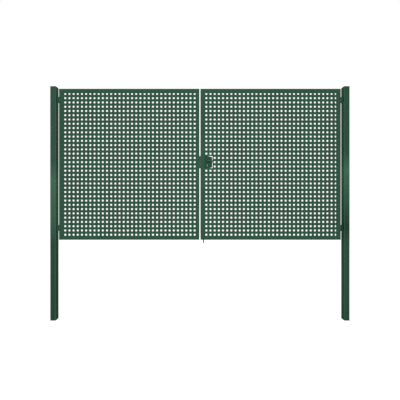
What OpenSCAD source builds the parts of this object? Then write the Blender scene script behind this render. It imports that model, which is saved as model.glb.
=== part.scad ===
// Double-leaf swing gate: perforated sheet on welded tube frames, hung between two square posts.
// Millimetres. X runs along the gate, Y away from its front face and Z up.
// The origin is the middle of the left post's foot.

/* [Posts] */
// Outer width and depth of a square post
post_w = 60; // [50:1:100]
// Wall of the post tube and of its closed foot
post_wall = 2; // [1.5:0.5:4]
// Outer corner radius of the post tube
post_corner_r = 4; // [2:0.5:8]
// Height from the foot of a post to the top of its cap
post_h = 2500; // [2300:10:3500]
// Thickness of a post's welded cap
cap_t = 3; // [2:0.5:8]

/* [Leaves] */
// Width of one leaf
leaf_w = 1505; // [1000:1:2400]
// Height of a leaf
leaf_h = 1620; // [1200:1:2000]
// How far the posts stand above the top of the leaves
post_rise = 21; // [0:1:100]
// Gap between the two closed leaves
meeting_gap = 12; // [10:0.5:30]
// Gap between a post and the leaf hung on it
hinge_gap = 26; // [26:0.5:50]
// Width of a frame tube, seen from the front
frame_w = 40; // [38:1:40]
// Depth of a frame tube
frame_d = 20; // [15:1:25]
// Wall of a frame tube
frame_wall = 2; // [1:0.5:4]

/* [Perforated sheet] */
// Thickness of the sheet
sheet_t = 2; // [1:0.25:4]
// Side of a square hole
hole_w = 20; // [10:0.5:30]
// Pitch of the holes along the gate
hole_pitch_x = 44.8; // [38:0.1:60]
// Pitch of the holes up the gate
hole_pitch_z = 45.8; // [38:0.1:60]
// Least plain edge between the sheet's rim and its first holes
sheet_margin = 40; // [30:1:80]
// How far the field of holes sits to the right of the middle of the left leaf
left_hole_shift = 8; // [-10:0.5:10]
// How far the field of holes sits to the right of the middle of the right leaf
right_hole_shift = 5; // [-10:0.5:10]
// Least plain edge between the lock's cut-out and the holes beside it
cutout_margin = 5; // [2:1:10]

/* [Hinges] */
// Height of a whole hinge
hinge_h = 64; // [40:1:100]
// Distance from a leaf's top edge to the middle of its upper hinge
upper_hinge_inset = 118; // [60:1:300]
// Distance from a leaf's bottom edge to the middle of its lower hinge
lower_hinge_inset = 125; // [60:1:300]
// Distance from a leaf's edge to its hinge axis
hinge_axis_gap = 7.25; // [7:0.25:10]
// Outer radius of a hinge barrel
barrel_r = 6.5; // [5.5:0.25:6.5]
// Radius of a hinge pin
pin_r = 4; // [2.5:0.25:4.5]
// Radius of a hinge pin's head
pin_head_r = 6; // [5:0.25:6.5]
// Height of a hinge pin's head
pin_head_h = 3; // [2:0.5:6]
// Thickness of the plates that join a barrel to its post and leaf
hinge_plate_t = 6; // [4:0.5:8]
// Radial clearance of a pin in its barrel
pin_clearance = 0.05; // [0.02:0.01:0.1]
// Vertical clearance between two knuckles
knuckle_clearance = 0.3; // [0.2:0.1:0.5]
// Clearance between a turning knuckle and the fixed plate behind it
knuckle_relief = 2; // [1:0.5:4]

/* [Lock] */
// Height of the lock's middle above a leaf's bottom edge
lock_z = 834; // [500:1:1000]
// Length of the lock case along the gate, with its shank
case_l = 85.5; // [75:0.5:100]
// Length of the shank that joins the lock case to the stile
shank_l = 18.5; // [5:0.5:19]
// How far the shank lies behind the front of the case
shank_recess = 6; // [1:0.5:15]
// Height of the lock case beside the stile
case_h = 129; // [110:0.2:160]
// Height of the lock case at its narrow end
case_end_h = 107; // [90:1:110]
// Length over which the lock case narrows towards its end
case_taper_l = 45; // [30:1:55]
// Depth of the lock case through the gate
case_d = 30; // [25:1:40]
// How far the cut-out in the sheet reaches over the stile
cutout_overlap = 3.5; // [0:0.5:10]
// Clearance from the lock case to the rim of its cut-out, at its end
cutout_end_gap = 4.5; // [3:0.5:15]
// Clearance from the lock case to the rim of its cut-out, above and below
cutout_side_gap = 0.4; // [0.2:0.1:5]
// Height of the forend and of the keep
forend_h = 130.2; // [100:0.2:150]
// Clearance between the forend and the keep
keep_clearance = 0.2; // [0.1:0.1:5]
// Distance from the case's stile side to the spindle and the cylinder
backset = 33.5; // [28:0.5:35]
// Distance between the spindle and the cylinder's round part
spindle_drop = 42; // [36:0.5:60]
// Radius of the profile cylinder's round part
cylinder_r = 8.5; // [7:0.25:9]
// Width of the profile cylinder's lower part
cylinder_w = 10; // [8:0.5:12]
// Whole height of the profile cylinder
cylinder_h = 33; // [28:0.5:35]
// Height of the profile cylinder's lower end above the lock case's lower edge
cylinder_floor = 7; // [6:0.1:20]
// How far the cylinder stands out of each face of the case
cylinder_stand = 3; // [1:0.5:6]
// Clearance of the cylinder in the case
cylinder_clearance = 0.1; // [0.05:0.05:0.3]

/* [Lever handles] */
// Side of the square spindle
spindle_w = 8; // [6:0.5:9]
// Radial clearance between the spindle's corners and the case
spindle_clearance = 0.1; // [0.05:0.05:0.3]
// Radius of a lever's neck
neck_r = 8; // [7:0.25:10]
// Distance from the case to the middle of a lever's bar
lever_stand = 32; // [28:1:50]
// Running gap between a lever's neck and the case
neck_gap = 0.3; // [0.2:0.1:1]
// Depth of the spindle's socket in a lever's neck
socket_depth = 14; // [8:1:20]
// Length of a lever from the spindle's middle to its tip
lever_l = 58; // [50:1:120]
// Height and depth of a lever's bar
lever_w = 14; // [10:0.5:16]

/* [Drop bolt] */
// Diameter of the drop bolt
bolt_d = 12; // [10:0.5:14]
// Distance from the lock stile's meeting edge to the bolt's middle
bolt_inset = 32.4; // [15:0.1:33]
// Distance from the lock stile's back to the bolt's middle
bolt_stand = 8; // [8:0.5:12]
// How far the lowered bolt reaches below the leaf
bolt_reach = 43; // [20:1:100]
// Length of the bolt from its tip to the top of its shank
bolt_l = 560; // [400:10:800]
// How far the bolt lifts
bolt_lift = 60; // [40:1:60]
// Width of a guide along the gate
guide_w = 20; // [18:1:24]
// Depth of a guide behind the stile
guide_d = 17; // [17:0.5:24]
// Height of a guide
guide_h = 30; // [20:1:40]
// Length of the lifted bolt that the lower guide still holds
guide_hold = 25; // [10:1:25]
// Radial clearance of the bolt in its guides
bolt_clearance = 0.1; // [0.05:0.05:0.5]
// Diameter of the bar that is the bolt's handle
bolt_handle_d = 8; // [6:0.5:9]
// How far the handle reaches behind the bolt's middle
bolt_handle_l = 70; // [50:1:120]
// Distance from the top of the bolt to the middle of its handle
bolt_handle_drop = 20; // [12:1:40]
// Clearance between the resting handle and the guide below it
handle_rest_gap = 0.3; // [0.2:0.1:0.5]

/* [Hidden] */
$fn = 48;

eps = 1;                                                   // overshoot of a cut past a face
least_r = 0.5;                                             // smallest corner radius of a tube
post_green = [0.20, 0.33, 0.26];
leaf_green = [0.21, 0.35, 0.27];
lock_green = [0.15, 0.22, 0.18];
steel = [0.72, 0.73, 0.74];

leaf_x = post_w / 2 + hinge_gap;                           // left leaf's hinge edge
meeting_x = leaf_x + leaf_w;                               // left leaf's meeting edge
centre_x = meeting_x + meeting_gap / 2;                    // middle of the gate
leaf_top = post_h - post_rise;
leaf_z = leaf_top - leaf_h;                                // leaves' bottom edge
axis_x = leaf_x - hinge_axis_gap;                          // left leaf's hinge axis
axis_y = -sheet_t / 2;                                     // middle of the leaf's thickness
knuckle_h = (hinge_h - 2 * knuckle_clearance) / 3;
upper_hinge_z = leaf_top - upper_hinge_inset;
lower_hinge_z = leaf_z + lower_hinge_inset;

hole_rows = floor((leaf_h - 2 * sheet_margin - hole_w) / hole_pitch_z) + 1;
first_hole_z = (leaf_h - (hole_rows - 1) * hole_pitch_z) / 2;
sheet_bands = 3;                                           // each sheet is held as three bands

lock_mid_z = leaf_z + lock_z;
cutout_l = frame_w + case_l + cutout_end_gap;              // from the meeting edge to the far rim
cutout_start = frame_w - cutout_overlap;                   // near rim, just over the stile's edge
cutout_h = case_h + 2 * cutout_side_gap;
case_front = -frame_d / 2;                                 // flush with the front of the tubes
case_back = case_front + case_d;
case_mid = (case_front + case_back) / 2;
forend_t = (meeting_gap - keep_clearance) / 2;             // the keep is as thick
leaf_d = frame_d + sheet_t;                                // a leaf's whole thickness
cylinder_z = lock_mid_z - case_h / 2 + cylinder_floor + cylinder_h - cylinder_r;
spindle_z = cylinder_z + spindle_drop;
spindle_inset = frame_w + backset;                         // from the meeting edge
bolt_y = frame_d / 2 + bolt_stand;
bolt_tip_z = leaf_z - bolt_reach;
bolt_top_z = bolt_tip_z + bolt_l;
bolt_handle_z = bolt_top_z - bolt_handle_drop;

// Places its children as the mirror image about the middle of the gate.
module other_side() {
    translate([2 * centre_x, 0, 0]) mirror([1, 0, 0]) children();
}

// Puts its children at the right leaf's meeting edge, at the height z.
module at_meeting_edge(z) {
    translate([centre_x + meeting_gap / 2, 0, z]) children();
}

module rounded_square(w, r) {
    square([w - 2 * r, w], center = true);
    square([w, w - 2 * r], center = true);
    for (x = [-1, 1], y = [-1, 1])
        translate([x * (w / 2 - r), y * (w / 2 - r)]) circle(r);
}

// ---- Posts ----

module post() {
    tube_h = post_h - cap_t;
    color(post_green) difference() {
        linear_extrude(tube_h) rounded_square(post_w, post_corner_r);
        translate([0, 0, post_wall]) linear_extrude(tube_h)
            rounded_square(post_w - 2 * post_wall, max(post_corner_r - post_wall, least_r));
    }
}

module post_cap() {
    color(post_green) translate([0, 0, post_h - cap_t])
        linear_extrude(cap_t) rounded_square(post_w, post_corner_r);
}

// ---- Hinges ----

// Post side: a plate welded to the post, with an upper and a lower knuckle.
module hinge_bracket(z) {
    post_gap = hinge_gap - hinge_axis_gap;
    color(post_green) translate([axis_x, axis_y, z - hinge_h / 2]) difference() {
        union() {
            translate([-post_gap, -hinge_plate_t / 2, 0]) cube([post_gap, hinge_plate_t, hinge_h]);
            cylinder(r = barrel_r, h = hinge_h);
        }
        translate([0, 0, knuckle_h]) cylinder(r = barrel_r + knuckle_relief, h = hinge_h - 2 * knuckle_h);
        translate([0, 0, -eps]) cylinder(r = pin_r + pin_clearance, h = hinge_h + 2 * eps);
    }
}

// Leaf side: the middle knuckle and the tab that joins it to the hinge stile.
module leaf_hinge(z) {
    color(leaf_green) translate([axis_x, axis_y, z - knuckle_h / 2]) difference() {
        union() {
            translate([0, -hinge_plate_t / 2, 0]) cube([hinge_axis_gap, hinge_plate_t, knuckle_h]);
            cylinder(r = barrel_r, h = knuckle_h);
        }
        translate([0, 0, -eps]) cylinder(r = pin_r + pin_clearance, h = knuckle_h + 2 * eps);
    }
}

module hinge_pin(z) {
    color(steel) translate([axis_x, axis_y, z - hinge_h / 2]) {
        cylinder(r = pin_r, h = hinge_h);
        translate([0, 0, hinge_h]) cylinder(r = pin_head_r, h = pin_head_h);
    }
}

// ---- Leaf frames: mitred tubes ----

// An upright of the frame, whose long outer edge is at x = 0. It fills the leaf's height.
module stile() {
    color(leaf_green) difference() {
        translate([0, frame_d / 2, 0]) rotate([90, 0, 0]) linear_extrude(frame_d)
            polygon([[0, 0], [frame_w, frame_w], [frame_w, leaf_h - frame_w], [0, leaf_h]]);
        translate([frame_wall, frame_wall - frame_d / 2, -eps])
            cube([frame_w - 2 * frame_wall, frame_d - 2 * frame_wall, leaf_h + 2 * eps]);
    }
}

// A crosspiece of the frame, whose long outer edge is at z = 0. It fills the leaf's width.
module rail() {
    color(leaf_green) difference() {
        translate([0, frame_d / 2, 0]) rotate([90, 0, 0]) linear_extrude(frame_d)
            polygon([[0, 0], [leaf_w, 0], [leaf_w - frame_w, frame_w], [frame_w, frame_w]]);
        translate([-eps, frame_wall - frame_d / 2, frame_wall])
            cube([leaf_w + 2 * eps, frame_d - 2 * frame_wall, frame_w - 2 * frame_wall]);
    }
}

module hinge_stile() {
    translate([leaf_x, 0, leaf_z]) stile();
}

module lock_stile() {
    translate([meeting_x, 0, leaf_z]) mirror([1, 0, 0]) stile();
}

module bottom_rail() {
    translate([leaf_x, 0, leaf_z]) rail();
}

module top_rail() {
    translate([leaf_x, 0, leaf_top]) mirror([0, 0, 1]) rail();
}

// ---- Perforated sheets ----

// The columns of holes that fit a leaf whose field of holes is moved sideways by the shift.
function hole_cols(shift) =
    floor((leaf_w - 2 * (sheet_margin + abs(shift)) - hole_w) / hole_pitch_x) + 1;

// The first row of a band, counted from the bottom.
function band_start(band) = round(band * hole_rows / sheet_bands);

// The height of a band's lower edge: the leaf's edge, or midway between two rows of holes.
function band_edge(band) = band == 0 ? 0
    : band == sheet_bands ? leaf_h
    : first_hole_z + (band_start(band) - 0.5) * hole_pitch_z;

// Is the hole at x, z clear of the lock's cut-out? x is counted from the meeting edge.
function clear_of_cutout(x, z) =
    x - hole_w / 2 > cutout_l + cutout_margin || abs(z - lock_z) > (cutout_h + hole_w) / 2 + cutout_margin;

// One band of a sheet, with x and the holes' shift counted from the leaf's meeting edge towards its hinges.
module sheet_band(band, shift, has_lock) {
    z0 = band_edge(band);
    z1 = band_edge(band + 1);
    cols = hole_cols(shift);
    first_hole_x = (leaf_w - (cols - 1) * hole_pitch_x) / 2 + shift;
    color(leaf_green) translate([0, -frame_d / 2, 0]) rotate([90, 0, 0]) linear_extrude(sheet_t)
        difference() {
            translate([0, z0]) square([leaf_w, z1 - z0]);
            for (row = [band_start(band) : band_start(band + 1) - 1], col = [0 : cols - 1]) {
                x = first_hole_x + col * hole_pitch_x;
                z = first_hole_z + row * hole_pitch_z;
                if (!has_lock || clear_of_cutout(x, z))
                    translate([x, z]) square(hole_w, center = true);
            }
            if (has_lock)
                translate([cutout_start, lock_z - cutout_h / 2])
                    square([cutout_l - cutout_start, cutout_h]);
        }
}

module left_sheet(band) {
    translate([meeting_x, 0, leaf_z]) mirror([1, 0, 0]) sheet_band(band, -left_hole_shift, false);
}

module right_sheet(band) {
    at_meeting_edge(leaf_z) sheet_band(band, right_hole_shift, true);
}

// ---- Lock, all on the right leaf apart from the keep ----

// The outline of a profile cylinder, with its round part at the origin.
module cylinder_profile(grow = 0) {
    end_r = cylinder_w / 2 + grow;
    circle(cylinder_r + grow);
    translate([0, -cylinder_h + cylinder_r + cylinder_w / 2]) circle(end_r);
    translate([-end_r, -cylinder_h + cylinder_r + cylinder_w / 2])
        square([2 * end_r, cylinder_h - cylinder_r - cylinder_w / 2]);
}

module lock_case() {
    half = case_h / 2;
    end_half = case_end_h / 2;
    taper_x = case_l - case_taper_l;
    color(lock_green) at_meeting_edge(0) translate([frame_w, case_back, 0]) difference() {
        translate([0, 0, lock_mid_z]) rotate([90, 0, 0]) {
            linear_extrude(case_d - shank_recess) translate([0, -half]) square([shank_l, case_h]);
            linear_extrude(case_d) polygon([
                [shank_l, -half], [taper_x, -half], [case_l, -end_half],
                [case_l, end_half], [taper_x, half], [shank_l, half]]);
        }
        translate([backset, eps, spindle_z]) rotate([90, 0, 0])
            cylinder(r = spindle_w / sqrt(2) + spindle_clearance, h = case_d + 2 * eps);
        translate([backset, eps, cylinder_z]) rotate([90, 0, 0])
            linear_extrude(case_d + 2 * eps) cylinder_profile(cylinder_clearance);
    }
}

module lock_cylinder() {
    length = case_d + 2 * cylinder_stand;
    color(steel) at_meeting_edge(cylinder_z) translate([spindle_inset, case_mid + length / 2, 0])
        rotate([90, 0, 0]) linear_extrude(length) cylinder_profile();
}

// The strip that closes half the gap beside the lock, on the left leaf's meeting edge.
module lock_keep() {
    color(leaf_green) translate([meeting_x, -frame_d / 2 - sheet_t, lock_mid_z - forend_h / 2])
        cube([forend_t, leaf_d, forend_h]);
}

// The face strip of the lock, on the right leaf's meeting edge.
module lock_forend() {
    other_side() lock_keep();
}

// ---- Lever handles ----

module lever_spindle() {
    length = case_d + 2 * (neck_gap + socket_depth);
    color(steel) at_meeting_edge(spindle_z) translate([spindle_inset, case_mid, 0])
        cube([spindle_w, length, spindle_w], center = true);
}

// The lever behind the gate: a round neck and a bar that points to the hinges.
module lever() {
    neck_l = lever_stand - neck_gap + lever_w / 2;
    color(leaf_green) at_meeting_edge(spindle_z) translate([spindle_inset, case_back + neck_gap, 0])
        difference() {
            union() {
                rotate([-90, 0, 0]) cylinder(r = neck_r, h = neck_l);
                translate([0, neck_l - lever_w, -lever_w / 2])
                    cube([lever_l - lever_w / 2, lever_w, lever_w]);
                translate([lever_l - lever_w / 2, neck_l - lever_w, 0])
                    rotate([-90, 0, 0]) cylinder(r = lever_w / 2, h = lever_w);
            }
            translate([-spindle_w / 2, -eps, -spindle_w / 2])
                cube([spindle_w, socket_depth + eps, spindle_w]);
        }
}

module rear_lever() {
    lever();
}

// The same lever, turned about the middle of the case.
module front_lever() {
    translate([0, 2 * case_mid, 0]) mirror([0, 1, 0]) lever();
}

// ---- Drop bolt, behind the right leaf's lock stile ----

// A block welded to the stile, bored for the bolt. Its underside is at z.
module bolt_guide(z) {
    color(leaf_green) at_meeting_edge(z) difference() {
        translate([bolt_inset - guide_w / 2, frame_d / 2, 0]) cube([guide_w, guide_d, guide_h]);
        translate([bolt_inset, bolt_y, -eps])
            cylinder(r = bolt_d / 2 + bolt_clearance, h = guide_h + 2 * eps);
    }
}

// The lower guide is high enough to clear the leaf's edge and low enough to keep the lifted bolt.
module lower_bolt_guide() {
    bolt_guide(bolt_tip_z + bolt_lift + guide_hold - guide_h);
}

// The upper guide stands just under the handle, which rests on it.
module upper_bolt_guide() {
    bolt_guide(bolt_handle_z - bolt_handle_d / 2 - handle_rest_gap - guide_h);
}

module drop_bolt_rod() {
    color(leaf_green) at_meeting_edge(bolt_tip_z) translate([bolt_inset, bolt_y, 0]) difference() {
        union() {
            translate([0, 0, bolt_d / 2]) sphere(bolt_d / 2);
            translate([0, 0, bolt_d / 2]) cylinder(d = bolt_d, h = bolt_l - bolt_d / 2);
        }
        translate([0, -bolt_d, bolt_l - bolt_handle_drop]) rotate([-90, 0, 0])
            cylinder(d = bolt_handle_d, h = 2 * bolt_d);
    }
}

// A bar driven through the bolt, flush with its front.
module drop_bolt_handle() {
    color(leaf_green) at_meeting_edge(bolt_handle_z) translate([bolt_inset, bolt_y - bolt_d / 2, 0])
        rotate([-90, 0, 0]) cylinder(d = bolt_handle_d, h = bolt_d / 2 + bolt_handle_l);
}

post();  // left_post
other_side() post();  // right_post
post_cap();  // left_post_cap
other_side() post_cap();  // right_post_cap
hinge_bracket(upper_hinge_z);  // left_upper_hinge_bracket
hinge_bracket(lower_hinge_z);  // left_lower_hinge_bracket
other_side() hinge_bracket(upper_hinge_z);  // right_upper_hinge_bracket
other_side() hinge_bracket(lower_hinge_z);  // right_lower_hinge_bracket
hinge_pin(upper_hinge_z);  // left_upper_hinge_pin
hinge_pin(lower_hinge_z);  // left_lower_hinge_pin
other_side() hinge_pin(upper_hinge_z);  // right_upper_hinge_pin
other_side() hinge_pin(lower_hinge_z);  // right_lower_hinge_pin
hinge_stile();  // left_hinge_stile
lock_stile();  // left_lock_stile
top_rail();  // left_top_rail
bottom_rail();  // left_bottom_rail
left_sheet(2);  // left_sheet_top
left_sheet(1);  // left_sheet_middle
left_sheet(0);  // left_sheet_bottom
leaf_hinge(upper_hinge_z);  // left_upper_leaf_hinge
leaf_hinge(lower_hinge_z);  // left_lower_leaf_hinge
lock_keep();
other_side() hinge_stile();  // right_hinge_stile
other_side() lock_stile();  // right_lock_stile
other_side() top_rail();  // right_top_rail
other_side() bottom_rail();  // right_bottom_rail
right_sheet(2);  // right_sheet_top
right_sheet(1);  // right_sheet_middle
right_sheet(0);  // right_sheet_bottom
other_side() leaf_hinge(upper_hinge_z);  // right_upper_leaf_hinge
other_side() leaf_hinge(lower_hinge_z);  // right_lower_leaf_hinge
lock_case();
lock_forend();
lock_cylinder();
lever_spindle();
front_lever();
rear_lever();
upper_bolt_guide();
lower_bolt_guide();
drop_bolt_rod();
drop_bolt_handle();
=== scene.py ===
"""Finished model of a double-leaf gate: perforated steel leaves on welded tube frames, between two posts.

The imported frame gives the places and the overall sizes. This file builds the pieces that stand for its plain
solids, gives every surface its finish, and sets up the floor, the light and the camera. Lengths are metres.
"""

import logging
import math
from collections.abc import Sequence
from dataclasses import dataclass, field
from enum import Enum

import bmesh
import bpy
from mathutils import Matrix, Vector
from mathutils.geometry import tessellate_polygon


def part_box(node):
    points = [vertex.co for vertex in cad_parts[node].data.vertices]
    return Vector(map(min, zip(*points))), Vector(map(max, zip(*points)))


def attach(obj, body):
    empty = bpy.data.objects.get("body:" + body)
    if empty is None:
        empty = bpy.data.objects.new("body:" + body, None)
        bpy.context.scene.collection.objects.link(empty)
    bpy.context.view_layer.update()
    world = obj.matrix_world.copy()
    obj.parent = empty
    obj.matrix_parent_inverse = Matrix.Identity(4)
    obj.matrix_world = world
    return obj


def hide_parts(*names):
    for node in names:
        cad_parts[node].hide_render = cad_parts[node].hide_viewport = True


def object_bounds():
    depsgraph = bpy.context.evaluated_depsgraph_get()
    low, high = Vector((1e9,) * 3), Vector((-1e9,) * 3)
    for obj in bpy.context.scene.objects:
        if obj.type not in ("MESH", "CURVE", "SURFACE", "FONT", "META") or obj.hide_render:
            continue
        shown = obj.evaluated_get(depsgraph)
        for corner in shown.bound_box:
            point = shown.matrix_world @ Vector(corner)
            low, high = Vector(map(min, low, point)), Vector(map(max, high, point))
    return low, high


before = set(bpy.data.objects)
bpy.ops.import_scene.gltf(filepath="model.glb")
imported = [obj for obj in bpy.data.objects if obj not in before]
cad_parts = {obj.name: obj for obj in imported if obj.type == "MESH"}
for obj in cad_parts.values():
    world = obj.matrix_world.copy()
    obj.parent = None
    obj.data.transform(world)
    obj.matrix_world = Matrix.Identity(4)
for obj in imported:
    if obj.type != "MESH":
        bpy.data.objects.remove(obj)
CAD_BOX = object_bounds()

log = logging.getLogger("gate")

MM = 0.001
PLATE_THICKNESS = 6 * MM           # hinge plates
WELD_INSET = 2 * MM                # from the end of a corner to its bead
LEVELS = ("upper", "lower")        # of hinges and of bolt guides
RUB_AND_SHEEN_ATTRIBUTE = "worn_edge"                 # point attribute: 1 along the middle of a rounded edge, 0 on flat faces; where it is 1 the coat is painted paler, for thin coat and a painted highlight
SMOOTH_BELOW = math.radians(32)    # faces that meet at less than this are shaded as one curve
FLAT_BELOW = math.radians(0.3)     # faces that meet at less than this are one flat face
CAD_GRAIN = 0.001 * MM             # points of a CAD mesh that are nearer than this are one point
SEAM = 0.0001 * MM                 # the same, for points that this file makes
PLATE_SEAM = 0.005 * MM            # the same, where a plate's faces meet
CELL_SEAM = 0.02 * MM              # the same, where cells of a sheet meet
NOISE_RANGE = (0.3, 0.7)           # the values that most of a noise lies between
RIPPLE_STEP = 0.25                 # from ring to ring of a weld bead, as a share of a ripple
BEAD_END = 0.04                    # how near its end, in radii, a bead stops getting slimmer

Shape = bmesh.types.BMesh
Socket = bpy.types.NodeSocket
NodeTree = bpy.types.NodeTree
# A point of an outline in its own plane, and how much it is painted paler, for thin coat and a painted
# highlight, from 0 to 1.
OutlinePoint = tuple[float, float, float]
# A point in space, and how much it is painted paler.
RingPoint = tuple[Vector, float]
# The two ends of a weld bead.
Line = tuple[Vector, Vector]


class Side(Enum):
    """The two halves of the gate."""

    LEFT = "left"
    RIGHT = "right"


class Edge(Enum):
    """The four edges of a leaf, seen from the front."""

    LEFT = "left"
    RIGHT = "right"
    TOP = "top"
    BOTTOM = "bottom"


HOLE_SHIFTS = {Side.LEFT: 8 * MM, Side.RIGHT: 5 * MM}     # of each sheet's field of holes, towards +X


# ---- Small tools ----


def linear(code: str) -> tuple[float, float, float, float]:
    """Turns an sRGB colour to the linear values that shaders read.

    Args:
        code: The colour as "#rrggbb".

    Returns:
        Linear red, green and blue, and an alpha of 1.
    """
    channels = [int(code[start:start + 2], 16) / 255 for start in (1, 3, 5)]
    red, green, blue = (c / 12.92 if c <= 0.04045 else ((c + 0.055) / 1.055) ** 2.4 for c in channels)
    return red, green, blue, 1.0


def add_node(
    tree: NodeTree,
    kind: str,
    settings: dict[str, object] | None = None,
    inputs: dict[str | int, object] | None = None,
) -> bpy.types.Node:
    """Adds a node with its settings and links.

    Args:
        tree: The tree that gets the node.
        kind: The node's type, such as "ShaderNodeBump".
        settings: Values of the node's properties, by name.
        inputs: Values, output sockets or lists of output sockets, by an input's name or number.

    Returns:
        The new node.
    """
    node = tree.nodes.new(kind)
    for name, value in (settings or {}).items():
        setattr(node, name, value)
    for key, value in (inputs or {}).items():
        socket = node.inputs[key]
        if isinstance(value, (Socket, list)):
            for source in value if isinstance(value, list) else [value]:
                tree.links.new(source, socket)
        else:
            socket.default_value = value
    return node


def rounded_outline(width: float, height: float, radius: float, segments: int) -> list[OutlinePoint]:
    """The outline of a rectangle with round corners, anticlockwise and centred on its plane's origin.

    Args:
        width: Size along the plane's first axis.
        height: Size along its second axis.
        radius: Radius of the corners.
        segments: Straight pieces in each corner.

    Returns:
        The points, with how much each is painted paler, most along the middle of each corner.
    """
    points = []
    for quarter, (sx, sy) in enumerate(((1, 1), (-1, 1), (-1, -1), (1, -1))):
        middle = (sx * (width / 2 - radius), sy * (height / 2 - radius))
        for step in range(segments + 1):
            angle = (quarter + step / segments) * math.pi / 2
            rub_and_sheen = math.sin(math.pi * step / segments)
            points.append((middle[0] + radius * math.cos(angle), middle[1] + radius * math.sin(angle), rub_and_sheen))
    return points


def quarter_turn(steps: int) -> list[tuple[float, float]]:
    """The sine and cosine at even steps of a quarter turn, with both its ends."""
    angles = [math.pi / 2 * step / steps for step in range(steps + 1)]
    return [(math.sin(angle), math.cos(angle)) for angle in angles]


def placed(outline: Sequence[OutlinePoint], place: Matrix, rub_and_sheen: float | None = None) -> list[RingPoint]:
    """Puts an outline in space, with each point's own share of the paler edge paint, or one share for the
    whole ring.
    """
    return [(place @ Vector((x, y, 0)), own if rub_and_sheen is None else rub_and_sheen) for x, y, own in outline]


def rub_sheen_layer(shape: Shape) -> bmesh.types.BMLayerItem:
    """The layer that holds how much each point of a shape is painted paler: thin coat and a painted highlight.
    """
    return shape.verts.layers.float.get(RUB_AND_SHEEN_ATTRIBUTE) or shape.verts.layers.float.new(RUB_AND_SHEEN_ATTRIBUTE)


def loft(rings: Sequence[Sequence[RingPoint]]) -> Shape:
    """Skins rings of equally many points, and closes both ends.

    Args:
        rings: The rings, in order from one end to the other.

    Returns:
        The closed shape.
    """
    shape = bmesh.new()
    layer = rub_sheen_layer(shape)
    rows = []
    for ring in rings:
        row = [shape.verts.new(point) for point, _ in ring]
        for vertex, (_, rub_and_sheen) in zip(row, ring):
            vertex[layer] = rub_and_sheen
        rows.append(row)
    for row, following in zip(rows, rows[1:]):
        add_walls(shape, row, following)
    shape.faces.new(list(reversed(rows[0])))
    shape.faces.new(rows[-1])
    return shape


def add_walls(
    shape: Shape, upper: Sequence[bmesh.types.BMVert], lower: Sequence[bmesh.types.BMVert],
) -> None:
    """Adds the faces between two rows of equally many points.

    Args:
        shape: The shape that gets the faces.
        upper: One row, which closes on itself.
        lower: The other row.
    """
    for i, vertex in enumerate(upper):
        j = (i + 1) % len(upper)
        shape.faces.new((vertex, upper[j], lower[j], lower[i]))


def bevel(
    shape: Shape, edges: Sequence[bmesh.types.BMEdge], radius: float, segments: int,
) -> dict[str, list]:
    """Rounds some edges of a shape, and tells which faces and points that made."""
    return bmesh.ops.bevel(
        shape, geom=edges, offset=radius, segments=segments, profile=0.5, affect="EDGES", clamp_overlap=True)


def soften(shape: Shape, radius: float) -> None:
    """Rounds every sharp edge of a closed shape, and marks the rounded edges to be painted paler, for thin
    coat and a painted highlight.

    Args:
        shape: The closed shape.
        radius: Radius of the rounding.
    """
    layer = rub_sheen_layer(shape)
    shape.normal_update()
    sharp = [e for e in shape.edges if e.is_manifold and e.calc_face_angle() > SMOOTH_BELOW]
    made = bevel(shape, sharp, radius, 2)
    rounded = set(made["faces"])
    for vertex in made["verts"]:
        if all(face in rounded for face in vertex.link_faces):
            vertex[layer] = 1.0


def merged_copy(node: str) -> Shape:
    """Copies a CAD node's mesh, with its loose triangles joined and its flat faces whole.

    Args:
        node: The CAD node.

    Returns:
        The copy.
    """
    shape = bmesh.new()
    shape.from_mesh(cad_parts[node].data)
    bmesh.ops.remove_doubles(shape, verts=shape.verts, dist=CAD_GRAIN)
    bmesh.ops.dissolve_limit(shape, angle_limit=FLAT_BELOW, verts=shape.verts, edges=shape.edges)
    return shape


def whole_box(nodes: Sequence[str]) -> tuple[Vector, Vector]:
    """The lowest and highest corners of several CAD nodes together."""
    lows, highs = zip(*(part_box(node) for node in nodes))
    return Vector(map(min, *lows)), Vector(map(max, *highs))


def plate_with_pockets(
    outline: Sequence[OutlinePoint],
    pockets: Sequence[tuple[Sequence[OutlinePoint], float]],
    thickness: float,
) -> Shape:
    """A flat plate whose front, at z = 0, has blind pockets. It reaches down to minus its thickness.

    Args:
        outline: The plate's outline, anticlockwise seen from the front.
        pockets: Each pocket's outline, anticlockwise too, and its depth.
        thickness: The plate's thickness.

    Returns:
        The closed shape.
    """
    shape = bmesh.new()
    loops = [list(outline)] + [list(pocket) for pocket, _ in pockets]
    depths = [thickness] + [depth for _, depth in pockets]
    front = [[shape.verts.new((x, y, 0)) for x, y, _ in loop] for loop in loops]
    deep = [[shape.verts.new((x, y, -d)) for x, y, _ in loop] for loop, d in zip(loops, depths)]
    flat = [vertex for row in front for vertex in row]
    for triangle in tessellate_polygon([[vertex.co for vertex in row] for row in front]):
        shape.faces.new([flat[i] for i in triangle])
    for upper, lower in zip(front, deep):
        add_walls(shape, upper, lower)
        shape.faces.new(lower)
    bmesh.ops.dissolve_limit(shape, angle_limit=FLAT_BELOW, verts=shape.verts, edges=shape.edges)
    return shape


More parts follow.
